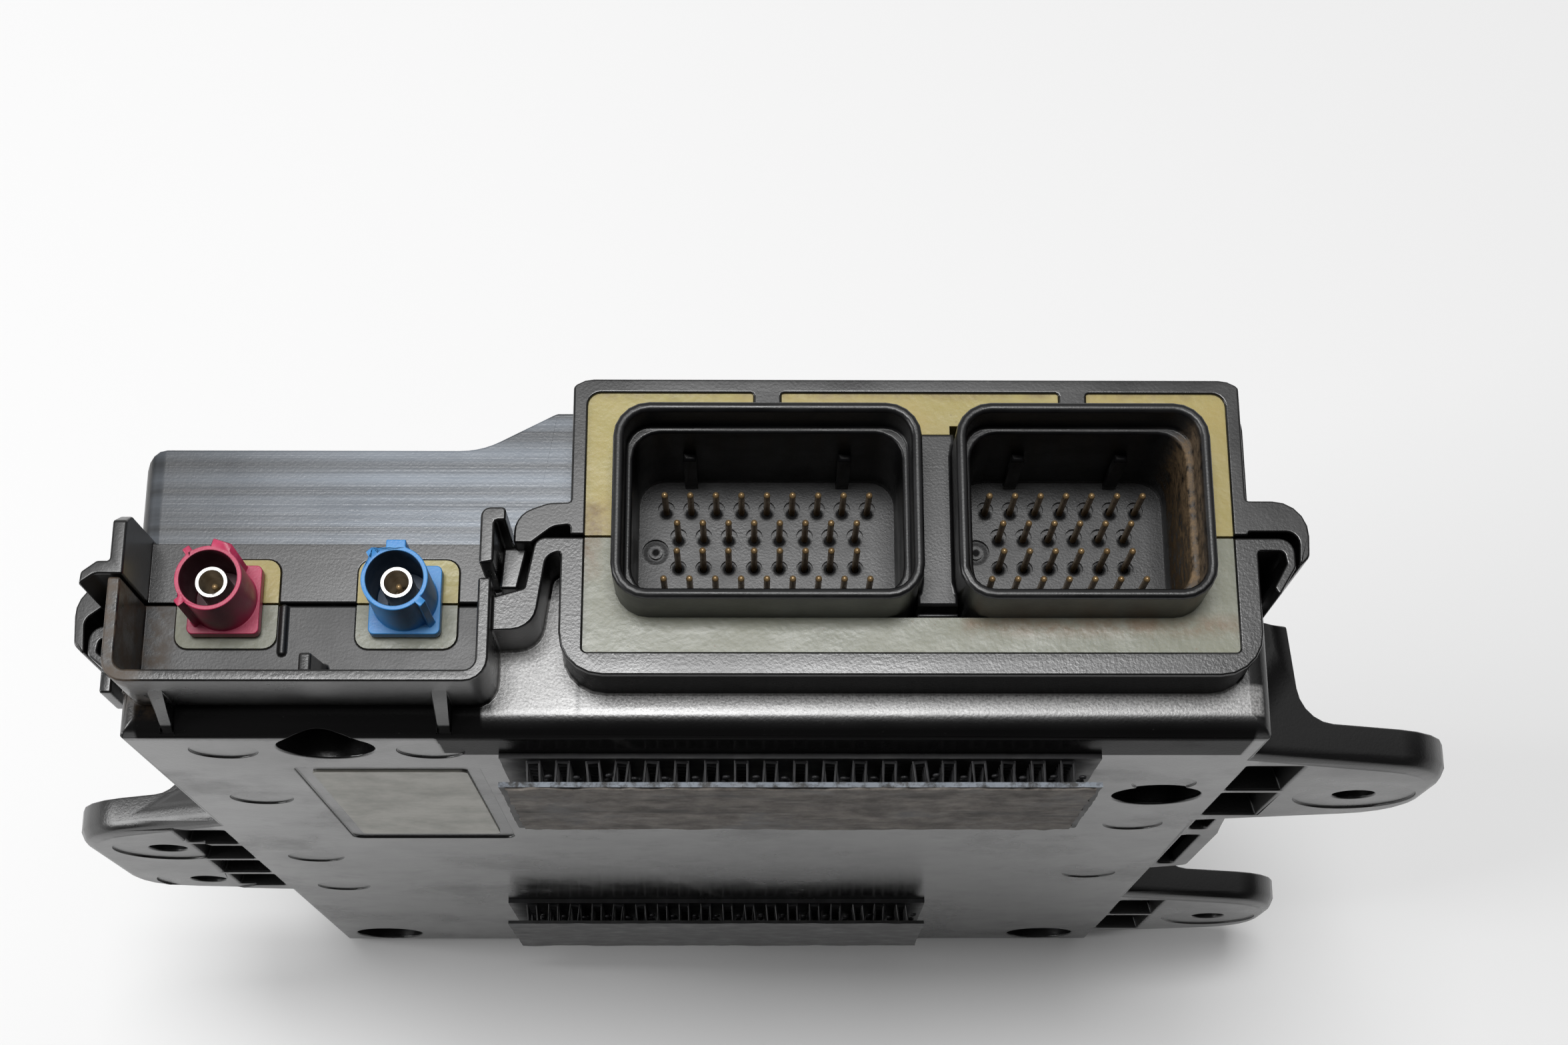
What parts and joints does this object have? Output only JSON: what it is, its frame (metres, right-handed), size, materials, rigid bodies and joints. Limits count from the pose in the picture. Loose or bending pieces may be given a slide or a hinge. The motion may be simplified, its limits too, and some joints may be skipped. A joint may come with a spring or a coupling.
{
  "type": "vehicle electronic control unit",
  "caption": "Sealed black vehicle control unit with potted pin headers, keyed red and blue coax plugs, mounting feet, a blank label and reclosable fastener strips.",
  "frame": {"origin": "middle of the rear end face, which the unit stands on", "axes": "+Z from the rear end to the connectors, +X across the unit towards the pin headers, +Y from the label face to the cover"},
  "size_m": [0.1817, 0.0444, 0.1785],
  "materials": {
    "housing_base": "semi-gloss black glass-filled plastic, fine grain",
    "housing_cover": "semi-gloss black plastic, streaked gloss in front",
    "seal_rubber": "dark grey cord",
    "header_plastic": "deep black satin",
    "contact_brass": "gold-bronze plating",
    "potting_yellow": "yellowed clear potting",
    "potting_grey": "grey-green clear potting",
    "plug_red": "crimson moulded plastic",
    "plug_blue": "sky-blue moulded plastic",
    "plug_metal": "bright plated tube",
    "plug_insulator": "tan bead",
    "board_laminate": "green solder mask",
    "shield_tin": "tinned sheet",
    "chip_resin": "moulded package",
    "inductor_ferrite": "moulded ferrite",
    "capacitor_can": "drawn can",
    "screw_steel": "dark zinc",
    "label_film": "blank cream film",
    "strip_black": "black tape with moulded stems",
    "strip_foam": "dusty brown-grey adhesive foam"
  },
  "bodies": {
    "root": {"lower_shell": "housing_base", "upper_shell": "housing_cover", "housing_seal": "seal_rubber", "connector_block": "header_plastic", "large_header_pins": "contact_brass", "small_header_pins": "contact_brass", "header_potting_upper": "potting_yellow", "header_potting_lower": "potting_grey", "red_plug_shroud": "plug_red", "red_plug_tube": "plug_metal", "red_plug_insulator": "plug_insulator", "red_plug_pin": "contact_brass", "blue_plug_shroud": "plug_blue", "blue_plug_tube": "plug_metal", "blue_plug_insulator": "plug_insulator", "blue_plug_pin": "contact_brass", "red_potting_upper": "potting_yellow", "red_potting_lower": "potting_grey", "blue_potting_upper": "potting_yellow", "blue_potting_lower": "potting_grey", "circuit_board": "board_laminate", "radio_shield": "shield_tin", "processor_chip": "chip_resin", "memory_chip": "chip_resin", "power_inductor": "inductor_ferrite", "capacitors": "capacitor_can", "board_screws": "screw_steel", "housing_screws": "screw_steel", "blank_label": "label_film", "front_strip_base": "strip_black", "front_strip_cover": "strip_black", "front_strip_foam": "strip_foam", "rear_strip_base": "strip_black", "rear_strip_cover": "strip_black"}
  },
  "joints": []
}
